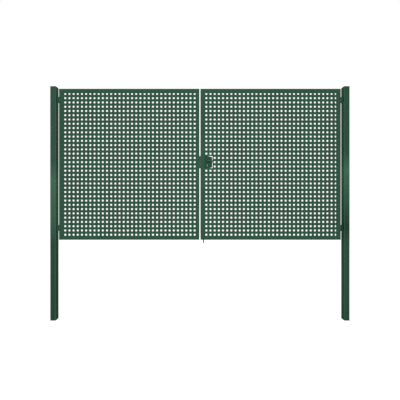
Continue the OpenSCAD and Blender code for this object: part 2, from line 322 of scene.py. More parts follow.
def as_mesh(shape: Shape, name: str, place: Matrix | None = None) -> bpy.types.Mesh:
    """Closes a shape's seams, turns its faces outwards and stores it, shaded smooth between its sharp edges.

    Args:
        shape: The shape, which is freed.
        name: Name of the mesh.
        place: Where the shape goes, or None if it is in place.

    Returns:
        The mesh.
    """
    if place is not None:
        bmesh.ops.transform(shape, matrix=place, verts=shape.verts)
    bmesh.ops.remove_doubles(shape, verts=shape.verts, dist=SEAM)
    bmesh.ops.recalc_face_normals(shape, faces=shape.faces)
    mesh = bpy.data.meshes.new(name)
    shape.to_mesh(mesh)
    shape.free()
    mesh.shade_smooth()
    mesh.set_sharp_from_angle(angle=SMOOTH_BELOW)
    return mesh


# ---- Finishes ----


def empty_tree(owner: bpy.types.Material | bpy.types.World) -> NodeTree:
    """Empties the node tree of a material or a world.

    Args:
        owner: What has the tree.

    Returns:
        The tree.
    """
    owner.use_nodes = True
    owner.node_tree.nodes.clear()
    return owner.node_tree


def noise(tree: NodeTree, place: Socket, wave: float, detail: float, roughness: float) -> Socket:
    """Adds soft noise whose waves have a given length in metres."""
    return add_node(tree, "ShaderNodeTexNoise", inputs={
        "Vector": place, "Scale": 1 / wave, "Detail": detail, "Roughness": roughness}).outputs["Fac"]


def spread(
    tree: NodeTree, value: Socket, given: tuple[float, float], wanted: tuple[float, float],
) -> Socket:
    """Adds the node that spreads one range of a value over another."""
    return add_node(tree, "ShaderNodeMapRange", inputs={
        "Value": value, "From Min": given[0], "From Max": given[1],
        "To Min": wanted[0], "To Max": wanted[1]}).outputs["Result"]


def product(tree: NodeTree, first: object, second: object, clamp: bool = False) -> Socket:
    """Adds the node that multiplies two numbers."""
    settings = {"operation": "MULTIPLY", "use_clamp": clamp}
    return add_node(tree, "ShaderNodeMath", settings, {0: first, 1: second}).outputs["Value"]


def blend(tree: NodeTree, share: object, first: object, second: object) -> Socket:
    """Adds the node that goes from one colour to another."""
    return add_node(tree, "ShaderNodeMix", {"data_type": "RGBA"}, {
        "Factor": share, "A": first, "B": second}).outputs["Result"]


def relief(tree: NodeTree, height: Socket, strength: float, depth: float) -> Socket:
    """Adds the node that makes a height look raised."""
    return add_node(tree, "ShaderNodeBump", inputs={
        "Height": height, "Strength": strength, "Distance": depth}).outputs["Normal"]


def add_surface(tree: NodeTree, inputs: dict[str, object]) -> None:
    """Adds the shader of a solid surface, and ends the tree with it."""
    shader = add_node(tree, "ShaderNodeBsdfPrincipled", inputs=inputs)
    add_node(tree, "ShaderNodeOutputMaterial", inputs={"Surface": shader.outputs["BSDF"]})


@dataclass(frozen=True)
class PowderCoat:
    """Polyester powder, sprayed on galvanised steel and baked: fine matt, uneven, thin along edges with a
    painted highlight there, and with painted light and shade by height.
    """

    name: str
    colour: str
    thin_coat_sheen_colour: str
    painted_light_by_height: tuple[tuple[float, float], ...] = ((0.0, 1.0),)   # painted light and shade: heights, and how bright the coat is painted there
    tallest: float = 2.5            # the height that the heights above are a share of
    roughness: float = 0.52
    roughness_drift: tuple[float, float] = (-0.04, 0.05)
    specular: float = 0.006         # a fine matt grain hardly mirrors its surroundings
    peel_wave: float = 3 * MM       # orange peel, the soft waves of baked powder
    peel_depth: float = 0.03 * MM
    cloud_wave: float = 300 * MM    # slow drift in how thick the powder lies
    cloud_tone: tuple[float, float] = (0.94, 1.06)
    speck_wave: float = 9 * MM      # patches along the edges that are painted paler
    speck_range: tuple[float, float] = (0.35, 0.65)
    edge_rub_sheen: tuple[float, float] = (0.25, 0.9)

    def material(self) -> bpy.types.Material:
        """Builds the finish: a green that clouds a little and carries painted light and shade by height, with
        waves in its gloss.

        Returns:
            The material.
        """
        material = bpy.data.materials.new(self.name)
        tree = empty_tree(material)
        place = add_node(tree, "ShaderNodeTexCoord").outputs["Object"]
        cloud = noise(tree, place, self.cloud_wave, detail=3.0, roughness=0.5)
        speck = noise(tree, place, self.speck_wave, detail=4.0, roughness=0.6)
        peel = noise(tree, place, self.peel_wave, detail=2.0, roughness=0.4)
        drift = tuple(self.roughness + change for change in self.roughness_drift)
        # The coat's random clouding, times the light and shade painted by height.
        tone = product(tree, spread(tree, cloud, NOISE_RANGE, self.cloud_tone), self.painted_light_ramp(tree, place))
        clouded = add_node(tree, "ShaderNodeVectorMath", {"operation": "SCALE"}, {
            0: linear(self.colour)[:3], "Scale": product(tree, tone, 2.0)}).outputs["Vector"]
        # Rounded edges are painted paler: thin, rubbed coat, and a painted highlight.
        edge = add_node(tree, "ShaderNodeAttribute", {"attribute_name": RUB_AND_SHEEN_ATTRIBUTE}).outputs["Fac"]
        rubbed_and_sheened = product(tree, edge, spread(tree, speck, self.speck_range, self.edge_rub_sheen), clamp=True)
        add_surface(tree, {
            "Base Color": blend(tree, rubbed_and_sheened, clouded, linear(self.thin_coat_sheen_colour)),
            "Roughness": spread(tree, speck, NOISE_RANGE, drift),
            "Normal": relief(tree, peel, strength=0.5, depth=self.peel_depth),
            "IOR": 1.5, "Specular IOR Level": self.specular})
        return material

    def painted_light_ramp(self, tree: NodeTree, place: Socket) -> Socket:
        """Adds the nodes that paint light and shade by height, as half the coat's brightness: a ramp holds
        nothing above 1.

        Args:
            tree: The material's tree.
            place: Where on the gate a point is.

        Returns:
            The half brightness.
        """
        height = add_node(tree, "ShaderNodeSeparateXYZ", inputs={0: place}).outputs["Z"]
        share = add_node(tree, "ShaderNodeMath", {"operation": "DIVIDE"}, {0: height, 1: self.tallest})
        ramp = add_node(tree, "ShaderNodeValToRGB", inputs={"Fac": share.outputs["Value"]})
        stops = ramp.color_ramp.elements
        stops.remove(stops[1])
        for number, (stop_height, brightness) in enumerate(self.painted_light_by_height):
            stop = stops[0] if number == 0 else stops.new(stop_height / self.tallest)
            stop.position = stop_height / self.tallest
            stop.color = (brightness / 2, brightness / 2, brightness / 2, 1)
        return ramp.outputs["Color"]


@dataclass(frozen=True)
class PlatedMetal:
    """A thin plating on turned or rolled metal: fine lines along it, and dull where it is handled."""

    name: str
    colour: str
    dull_colour: str
    roughness: float
    roughness_drift: tuple[float, float] = (-0.06, 0.1)
    line_wave: float = 0.8 * MM     # turning lines, about four times coarser than real so that they show
    line_depth: float = 0.01 * MM
    dull_wave: float = 14 * MM      # patches of passivation and handling
    dull_range: tuple[float, float] = (0.4, 0.62)

    def material(self) -> bpy.types.Material:
        """Builds the finish: metal with turning lines in its gloss and duller patches.

        Returns:
            The material.
        """
        material = bpy.data.materials.new(self.name)
        tree = empty_tree(material)
        place = add_node(tree, "ShaderNodeTexCoord").outputs["Object"]
        dull = noise(tree, place, self.dull_wave, detail=5.0, roughness=0.6)
        # The texture repeats 20 / tau times in a metre at a scale of 1.
        line = add_node(tree, "ShaderNodeTexWave", {"bands_direction": "Z"}, {
            "Vector": place, "Scale": math.tau / (20 * self.line_wave), "Distortion": 0.6, "Detail": 2.0})
        patch = spread(tree, dull, self.dull_range, (0.0, 1.0))
        drift = tuple(self.roughness + change for change in self.roughness_drift)
        add_surface(tree, {
            "Base Color": blend(tree, patch, linear(self.colour), linear(self.dull_colour)), "Metallic": 1.0,
            "Roughness": spread(tree, dull, NOISE_RANGE, drift),
            "Normal": relief(tree, line.outputs["Fac"], strength=0.4, depth=self.line_depth)})
        return material


class Finish:
    """A finish on the shelf: its material, and the record's slot that it belongs to."""

    def __init__(self, coat: PowderCoat | PlatedMetal, slot: str) -> None:
        """Makes the material."""
        self.material = coat.material()
        self.slot = slot


class Paintshop:
    """Every finish of the gate, made once."""

    def __init__(self) -> None:
        """Mixes the finishes."""
        # Painted light and shade by height: each post is painted darker at its foot, the right one also in a
        # band near 1 m, and paler in its middle.
        painted_light_by_height = {
            Side.LEFT: ((0.8, 0.8), (1.0, 1.2), (1.5, 1.6), (1.7, 1.0)),
            Side.RIGHT: ((0.8, 0.9), (1.0, 0.6), (1.6, 1.6), (1.8, 0.9))}
        # The posts' paler edge colour also paints the highlight on their rounded corners.
        self.posts = {
            side: Finish(
                PowderCoat(f"moss_green_powder_coat_on_{side.value}_post", "#335543", "#57836c", stops),
                "post_powder_coat")
            for side, stops in painted_light_by_height.items()}
        self.leaf = Finish(
            PowderCoat("moss_green_powder_coat_on_leaves", "#335543", "#537d67"), "leaf_powder_coat")
        # The lock's darker green is partly its own paint and partly painted shade of the recessed case.
        self.lock = Finish(
            PowderCoat("darker_green_powder_coat_with_painted_shade_on_lock", "#2a4c3a", "#4a7560"), "lock_powder_coat")
        self.zinc = Finish(
            PlatedMetal("zinc_plated_turned_steel", "#a9b0ae", "#858d8a", 0.38), "zinc_plated_steel")
        # The nickel's green cast is a painted reflection of the green coat round it.
        self.nickel = Finish(
            PlatedMetal("satin_nickel_plated_brass", "#415f50", "#385244", 0.34), "nickel_plated_brass")
        # The cylinder body's nickel is painted darker: painted shade, with the same painted green reflection.
        self.shaded_nickel = Finish(
            PlatedMetal("darker_nickel_plated_brass_with_painted_shade", "#2c4337", "#263b30", 0.45), "nickel_plated_brass")


def add_piece(
    name: str, mesh: bpy.types.Mesh, body: str, finish: Finish, stands_for: Sequence[str] = (),
) -> None:
    """Puts a finished mesh on its CAD body.

    Args:
        name: The piece's name.
        mesh: Its mesh, in place.
        body: The CAD body that it rides on.
        finish: Its finish.
        stands_for: The CAD nodes that it replaces.
    """
    piece = bpy.data.objects.new(name, mesh)
    bpy.context.scene.collection.objects.link(piece)
    mesh.materials.clear()
    mesh.materials.append(finish.material)
    even = piece.modifiers.new("flat faces stay flat", "WEIGHTED_NORMAL")
    even.keep_sharp = True
    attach(piece, body)
    if stands_for:
        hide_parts(*stands_for)
    log.info("%s on %s, %d faces", name, body, len(mesh.polygons))


def add_rounded(node: str, ending: str, radius: float, body: str, finish: Finish) -> None:
    """Puts a copy of a CAD node with rounded edges in its place.

    Args:
        node: The CAD node.
        ending: What the piece's name has after the node's.
        radius: Radius of the edges.
        body: The CAD body that it rides on.
        finish: Its finish.
    """
    shape = merged_copy(node)
    soften(shape, radius)
    add_piece(f"{node}_{ending}", as_mesh(shape, node), body, finish, [node])


def refinish(node: str, finish: Finish) -> None:
    """Gives a CAD node, which stays as it is, its finish.

    Args:
        node: The CAD node.
        finish: The finish.
    """
    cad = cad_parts[node]
    cad.data.materials.clear()
    cad.data.materials.append(finish.material)
    log.info("%s keeps its CAD shape", node)


# ---- Geometry Nodes ----


class ShapeTree:
    """A Geometry Nodes tree with named inputs, from which plain meshes are made."""

    def __init__(self, name: str, inputs: dict[str, str]) -> None:
        """Starts the tree.

        Args:
            name: The tree's name.
            inputs: The type of each input's socket, such as "Float", by the input's name.
        """
        self.group = bpy.data.node_groups.new(name, "GeometryNodeTree")
        for label, kind in {"Geometry": "Geometry", **inputs, "Finish": "Material"}.items():
            self.group.interface.new_socket(label, in_out="INPUT", socket_type=f"NodeSocket{kind}")
        self.group.interface.new_socket("Geometry", in_out="OUTPUT", socket_type="NodeSocketGeometry")
        self.given = self.add("NodeGroupInput")

    def add(
        self, kind: str, inputs: dict[str | int, object] | None = None, **settings: object,
    ) -> bpy.types.bpy_prop_collection:
        """Adds a node to this tree, and gives its outputs."""
        return add_node(self.group, kind, settings, inputs).outputs

    def math(self, operation: str, *values: object, **settings: object) -> Socket:
        """Adds a sum on numbers."""
        return self.add("ShaderNodeMath", dict(enumerate(values)), operation=operation, **settings)[0]

    def vector(self, operation: str, *values: object) -> Socket:
        """Adds a sum on vectors."""
        return self.add("ShaderNodeVectorMath", dict(enumerate(values)), operation=operation)[0]

    def scaled(self, vector: Socket, factor: float) -> Socket:
        """Adds the scaling of a vector."""
        return self.add("ShaderNodeVectorMath", {0: vector, "Scale": factor}, operation="SCALE")[0]

    def below(self, vector: Socket, limit: Socket) -> Socket:
        """Adds the test that a vector is under a limit along every axis."""
        return self.add("FunctionNodeCompare", {"A": vector, "B": limit},
                        data_type="VECTOR", mode="ELEMENT", operation="LESS_THAN")[0]

    def joined(self, *parts: Socket) -> Socket:
        """Adds the joining of geometries."""
        return self.add("GeometryNodeJoinGeometry", {0: list(parts)})[0]

    def moved(self, geometry: Socket, way: Socket) -> Socket:
        """Adds the moving of a geometry."""
        return self.add("GeometryNodeTransform", {"Geometry": geometry, "Translation": way})[0]

    def cut(self, solid: Socket, tool: Socket) -> Socket:
        """Adds the cutting of one solid with another."""
        return self.add("GeometryNodeMeshBoolean", {"Mesh 1": solid, "Mesh 2": tool},
                        operation="DIFFERENCE", solver="MANIFOLD")["Mesh"]

    def rectangle(self, width: Socket, height: Socket) -> Socket:
        """Adds a rectangle's outline."""
        return self.add("GeometryNodeCurvePrimitiveQuadrilateral", {"Width": width, "Height": height})[0]

    def rounded(self, outline: Socket, radius: Socket) -> Socket:
        """Adds the rounding of an outline's corners, with the tree's own number of segments."""
        return self.add("GeometryNodeFilletCurve", {
            "Curve": outline, "Count": self.given["Corner Segments"], "Radius": radius, "Limit Radius": True},
            mode="POLY")[0]

    def filled(self, outline: Socket) -> Socket:
        """Adds the flat face within an outline."""
        return self.add("GeometryNodeFillCurve", {"Curve": outline}, mode="NGONS")[0]

    def close(self, geometry: Socket) -> None:
        """Ends the tree: curved parts are shaded smooth, instances become real and the finish goes on.

        Args:
            geometry: What the tree has made.
        """
        real = self.add("GeometryNodeRealizeInstances", {"Geometry": geometry})[0]
        smooth = self.add("GeometryNodeSetShadeSmooth", {"Geometry": real, "Shade Smooth": True})[0]
        bend = self.add("GeometryNodeInputMeshEdgeAngle")["Unsigned Angle"]
        sharp = self.add("FunctionNodeCompare", {"A": bend, "B": SMOOTH_BELOW}, operation="GREATER_THAN")[0]
        edged = self.add("GeometryNodeSetShadeSmooth", {
            "Geometry": smooth, "Selection": sharp, "Shade Smooth": False}, domain="EDGE")[0]
        painted = self.add("GeometryNodeSetMaterial", {
            "Geometry": edged, "Material": self.given["Finish"]})[0]
        self.add("NodeGroupOutput", {0: painted})

    def make(self, name: str, base: bpy.types.Mesh, finish: Finish, **values: object) -> bpy.types.Mesh:
        """Runs the tree once.

        Args:
            name: Name of the new mesh.
            base: The mesh that the tree starts from, which is removed.
            finish: The finish that the tree sets.
            values: The inputs' values, by name, with a space written as an underscore.

        Returns:
            The plain mesh that the tree made.
        """
        holder = bpy.data.objects.new(name, base)
        bpy.context.scene.collection.objects.link(holder)
        modifier = holder.modifiers.new(name, "NODES")
        modifier.node_group = self.group
        wanted = {label.replace("_", " "): value for label, value in values.items()}
        wanted["Finish"] = finish.material
        for item in self.group.interface.items_tree:
            if item.in_out == "INPUT" and item.name in wanted:
                modifier[item.identifier] = wanted.pop(item.name)
        if wanted:
            raise ValueError(f"the tree {self.group.name} has no input {sorted(wanted)}")
        graph = bpy.context.evaluated_depsgraph_get()
        mesh = bpy.data.meshes.new_from_object(holder.evaluated_get(graph), depsgraph=graph)
        mesh.name = name
        holder.modifiers.remove(modifier)
        bpy.data.objects.remove(holder)
        bpy.data.meshes.remove(base)
        return mesh


def closed_plate(tree: ShapeTree, flat: Socket, thickness: object) -> Socket:
    """Adds the nodes that give a flat face its thickness.

    Args:
        tree: The tree.
        flat: The flat geometry, facing +Z.
        thickness: A number or a socket.

    Returns:
        The closed plate, which stands on the flat geometry.
    """
    walls = tree.add("GeometryNodeExtrudeMesh", {
        "Mesh": flat, "Offset": (0, 0, 1), "Offset Scale": thickness, "Individual": False}, mode="FACES")[0]
    under = tree.add("GeometryNodeFlipFaces", {"Mesh": flat})[0]
    return tree.add("GeometryNodeMergeByDistance", {
        "Geometry": tree.joined(under, walls), "Distance": PLATE_SEAM})[0]


def sheet_tree() -> ShapeTree:
    """The tree of a perforated sheet: a grid of square cells, each with a rounded hole, and a plain border.

    The sheet lies in the XY plane with its middle at the origin, and grows in thickness towards +Z.

    Returns:
        The tree.
    """
    tree = ShapeTree("perforated sheet", {
        "Size": "Vector", "Columns": "Int", "Rows": "Int", "Pitch": "Vector", "Hole Shift": "Vector",
        "Hole Width": "Float", "Hole Corner": "Float", "Corner Segments": "Int",
        "Has Cutout": "Bool", "Cutout Centre": "Vector", "Cutout Size": "Vector", "Cutout Corner": "Float",
        "Plain Margin": "Float"})
    given = tree.given
    size, pitch, cutout = (
        tree.add("ShaderNodeSeparateXYZ", {0: given[label]}) for label in ("Size", "Pitch", "Cutout Size"))
    counts = tree.add("ShaderNodeCombineXYZ", {"X": given["Columns"], "Y": given["Rows"], "Z": 1.0})[0]

    # A grid with one cell for each hole and one more all round, whose outer points are pulled in to the rim.
    cells = {}
    for axis, count in (("X", given["Columns"]), ("Y", given["Rows"])):
        cells[f"Vertices {axis}"] = tree.math("ADD", count, 3.0)
        cells[f"Size {axis}"] = tree.math("MULTIPLY", tree.math("ADD", count, 2.0), pitch[axis])
    grid = tree.moved(tree.add("GeometryNodeMeshGrid", cells)["Mesh"], given["Hole Shift"])
    where = tree.add("GeometryNodeInputPosition")[0]
    capped = tree.vector("MINIMUM", where, tree.scaled(given["Size"], 0.5))
    kept = tree.vector("MAXIMUM", capped, tree.scaled(given["Size"], -0.5))
    rimmed = tree.add("GeometryNodeSetPosition", {"Geometry": grid, "Position": kept})[0]

    # The cells that get a hole: inside the border, and clear of the cut-out by the plain margin.
    reach = tree.scaled(tree.vector("MULTIPLY", given["Pitch"], counts), 0.5)
    off_centre = tree.vector("ABSOLUTE", tree.vector("SUBTRACT", where, given["Hole Shift"]))
    half_hole = tree.math("MULTIPLY_ADD", given["Hole Width"], 0.5, given["Plain Margin"])
    zone = tree.vector("ADD", tree.scaled(given["Cutout Size"], 0.5), half_hole)
    distance = tree.vector("ABSOLUTE", tree.vector("SUBTRACT", where, given["Cutout Centre"]))
    plain = tree.add("FunctionNodeBooleanMath", {
        0: tree.below(distance, zone), 1: given["Has Cutout"]}, operation="AND")[0]
    holed = tree.add("FunctionNodeBooleanMath", {
        0: tree.below(off_centre, reach), 1: plain}, operation="NIMPLY")[0]

    # One cell, with its hole.
    hole = tree.rounded(tree.rectangle(given["Hole Width"], given["Hole Width"]), given["Hole Corner"])
    cell = tree.filled(tree.joined(tree.rectangle(pitch["X"], pitch["Y"]), hole))

    centres = tree.add("GeometryNodeMeshToPoints", {"Mesh": rimmed, "Selection": holed}, mode="FACES")[0]
    placed_cells = tree.add("GeometryNodeInstanceOnPoints", {"Points": centres, "Instance": cell})[0]
    real_cells = tree.add("GeometryNodeRealizeInstances", {"Geometry": placed_cells})[0]
    border = tree.add("GeometryNodeDeleteGeometry", {
        "Geometry": rimmed, "Selection": holed}, domain="FACE")[0]
    flat = tree.add("GeometryNodeMergeByDistance", {
        "Geometry": tree.joined(border, real_cells), "Distance": CELL_SEAM})[0]
    solid = closed_plate(tree, flat, size["Z"])

    # The cut-out, taken with a rounded block that stands through the sheet.
    block_face = tree.filled(tree.rounded(tree.rectangle(cutout["X"], cutout["Y"]), given["Cutout Corner"]))
    block = tree.moved(closed_plate(tree, block_face, cutout["Z"]), given["Cutout Centre"])
    tree.close(tree.add("GeometryNodeSwitch", {
        "Switch": given["Has Cutout"], "False": solid, "True": tree.cut(solid, block)},
        input_type="GEOMETRY")[0])
    return tree


def weld_tree() -> ShapeTree:
    """The tree of weld beads: every edge of the base mesh becomes one rippled bead with rounded ends.

    Returns:
        The tree.
    """
    tree = ShapeTree("weld beads", {
        "Radius": "Float", "Ripple Spacing": "Float", "Ripple Height": "Float", "Sides": "Int"})
    given = tree.given
    line = tree.add("GeometryNodeMeshToCurve", {"Mesh": given["Geometry"]})[0]
    step = tree.math("MULTIPLY", given["Ripple Spacing"], RIPPLE_STEP)
    path = tree.add("GeometryNodeResampleCurve", {"Curve": line, "Length": step}, mode="LENGTH")[0]
    along = tree.add("GeometryNodeSplineParameter")["Length"]
    whole = tree.add("GeometryNodeSplineLength")["Length"]
    phase = tree.math("MULTIPLY", tree.math("DIVIDE", along, given["Ripple Spacing"]), math.tau)
    swell = tree.math("MULTIPLY_ADD", tree.math("SINE", phase), given["Ripple Height"], given["Radius"])
    nearer = tree.math("MINIMUM", along, tree.math("SUBTRACT", whole, along))
    share = tree.math("DIVIDE", nearer, given["Radius"], use_clamp=True)
    taper = tree.math("POWER", tree.math("MAXIMUM", share, BEAD_END), 0.5)
    profile = tree.add("GeometryNodeCurvePrimitiveCircle", {"Resolution": given["Sides"], "Radius": 1.0})[0]
    tree.close(tree.add("GeometryNodeCurveToMesh", {
        "Curve": path, "Profile Curve": profile, "Scale": tree.math("MULTIPLY", swell, taper),
        "Fill Caps": True})[0])
    return tree


def screw_tree() -> ShapeTree:
    """The tree of countersunk screw heads with a hexagon socket: one at each point of the base mesh.

    Returns:
        The tree.
    """
    tree = ShapeTree("countersunk screws", {
        "Head Radius": "Float", "Head Height": "Float", "Socket Radius": "Float", "Turn": "Vector"})
    given = tree.given
    head = tree.add("GeometryNodeMeshCone", {
        "Vertices": 28, "Radius Top": given["Head Radius"],
        "Radius Bottom": tree.math("MULTIPLY", given["Head Radius"], 0.5),
        "Depth": given["Head Height"]}, fill_type="NGON")["Mesh"]
    drop = tree.add("ShaderNodeCombineXYZ", {"Z": tree.math("MULTIPLY", given["Head Height"], -1.0)})[0]
    socket = tree.add("GeometryNodeMeshCylinder", {
        "Vertices": 6, "Radius": given["Socket Radius"], "Depth": given["Head Height"]},
        fill_type="NGON")["Mesh"]
    screw = tree.cut(tree.moved(head, drop), socket)
    turn = tree.add("FunctionNodeEulerToRotation", {0: given["Turn"]})[0]
    points = tree.add("GeometryNodeMeshToPoints", {"Mesh": given["Geometry"]}, mode="VERTICES")[0]
    tree.close(tree.add("GeometryNodeInstanceOnPoints", {
        "Points": points, "Instance": screw, "Rotation": turn})[0])
    return tree


def plain_mesh(
    name: str, points: Sequence[Vector], edges: Sequence[tuple[int, int]] = (),
    faces: Sequence[tuple[int, ...]] = (),
) -> bpy.types.Mesh:
    """Makes a mesh of loose points, loose edges or faces.

    Args:
        name: The mesh's name.
        points: Its points.
        edges: The numbers of each edge's points.
        faces: The numbers of each face's points.

    Returns:
        The mesh.
    """
    mesh = bpy.data.meshes.new(name)
    mesh.from_pydata(points, edges, faces)
    return mesh


def plate_lines(side: Side, part: str, face: float) -> list[Line]:
    """The upright corners in front of and behind a side's two hinge plates.

    Args:
        side: The side of the gate.
        part: What its plates' CAD nodes are called after the side and the level.
        face: The x of the face that the plates are welded to.

    Returns:
        The lines.
    """
    lines = []
    for level in LEVELS:
        low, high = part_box(f"{side.value}_{level}_{part}")
        middle, half = (low.y + high.y) / 2, PLATE_THICKNESS / 2
        lines += [upright(face, y, low, high) for y in (middle - half, middle + half)]
    return lines


def upright(x: float, y: float, low: Vector, high: Vector) -> Line:
    """An upright line that ends a little inside the heights of two corners."""
    return Vector((x, y, low.z + WELD_INSET)), Vector((x, y, high.z - WELD_INSET))


@dataclass
class Welder:
    """Lays weld beads, a bead for each line, gathered in one mesh for each set of lines that it lays."""

    ripple: float = 2.4 * MM
    ripple_height: float = 0.14 * MM
    sides: int = 8
    tree: ShapeTree = field(default_factory=weld_tree)

    def lay(self, name: str, body: str, lines: Sequence[Line], radius: float, finish: Finish) -> None:
        """Makes the beads as one piece.

        Args:
            name: The piece's name.
            body: The CAD body that the beads ride on.
            lines: The two ends of each bead.
            radius: Radius of a bead, which is half sunk in the corner that it fills.
            finish: The finish that was sprayed over the beads.
        """
        points = [point for line in lines for point in line]
        base = plain_mesh(name, points, [(i, i + 1) for i in range(0, len(points), 2)])
        mesh = self.tree.make(
            name, base, finish, Radius=radius, Ripple_Spacing=self.ripple,
            Ripple_Height=self.ripple_height, Sides=self.sides)
        add_piece(name, mesh, body, finish)


class Workshop(Paintshop):
    """The finishes, and what makes the shapes that repeat."""

    def __init__(self) -> None:
        """Mixes the finishes and builds the trees."""
        super().__init__()
        self.welder = Welder()
        self.sheets = sheet_tree()
        self.screws = screw_tree()


# ---- Posts ----


@dataclass
class Post:
    """A square tube post with a welded cap, and the fixed halves of its two hinges."""

    shop: Workshop
    side: Side
    corner: float = 4 * MM
    corner_segments: int = 6
    seam: float = 0.5 * MM          # chamfer on both sides of the joint between tube and cap
    cap_edge: float = 1 * MM
    cap_edge_segments: int = 4
    bracket_edge: float = 0.6 * MM
    pin_edge: float = 0.5 * MM
    bead: float = 1.8 * MM
    least_corner: float = 0.2 * MM
    body: str = "posts"

    @property
    def coat(self) -> Finish:
        """The post's finish."""
        return self.shop.posts[self.side]

    def build(self) -> None:
        """Builds the tube, the cap, the hinge brackets with their welds, and the pins."""
        self.tube()
        self.cap()
        name = self.side.value
        for level in LEVELS:
            for part, edge, finish in (
                ("bracket", self.bracket_edge, self.coat), ("pin", self.pin_edge, self.shop.zinc),
            ):
                add_rounded(f"{name}_{level}_hinge_{part}", "piece", edge, self.body, finish)
        low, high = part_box(f"{name}_post")
        lines = plate_lines(self.side, "hinge_bracket", high.x if self.side is Side.LEFT else low.x)
        self.shop.welder.lay(f"{name}_bracket_welds", self.body, lines, self.bead, self.coat)

    def section(self, node: str, z: float, inset: float = 0.0) -> list[RingPoint]:
        """Makes a level ring round the post or its cap.

        Args:
            node: The CAD node whose box the ring goes round.
            z: The ring's height.
            inset: How far it lies inside the faces.

        Returns:
            The ring.
        """
        low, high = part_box(node)
        width, depth = high.x - low.x - 2 * inset, high.y - low.y - 2 * inset
        corner = max(self.corner - inset, self.least_corner)
        outline = rounded_outline(width, depth, corner, self.corner_segments)
        return placed(outline, Matrix.Translation(((low.x + high.x) / 2, (low.y + high.y) / 2, z)))

    def tube(self) -> None:
        """The upright tube, chamfered at its top where the cap is welded on."""
        node = f"{self.side.value}_post"
        low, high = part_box(node)
        shape = loft([
            self.section(node, low.z, self.seam), self.section(node, low.z + self.seam),
            self.section(node, high.z - self.seam), self.section(node, high.z, self.seam)])
        add_piece(f"{node}_tube", as_mesh(shape, node), self.body, self.coat, [node])

    def cap(self) -> None:
        """The flat cap, with a rounded upper edge."""
        node = f"{self.side.value}_post_cap"
        low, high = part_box(node)
        rings = [self.section(node, low.z, self.seam), self.section(node, low.z + self.seam)]
        rings += [
            self.section(node, high.z - self.cap_edge * (1 - sine), self.cap_edge * (1 - cosine))
            for sine, cosine in quarter_turn(self.cap_edge_segments)]
        add_piece(f"{node}_plate", as_mesh(loft(rings), node), self.body, self.coat, [node])


# ---- Leaves ----


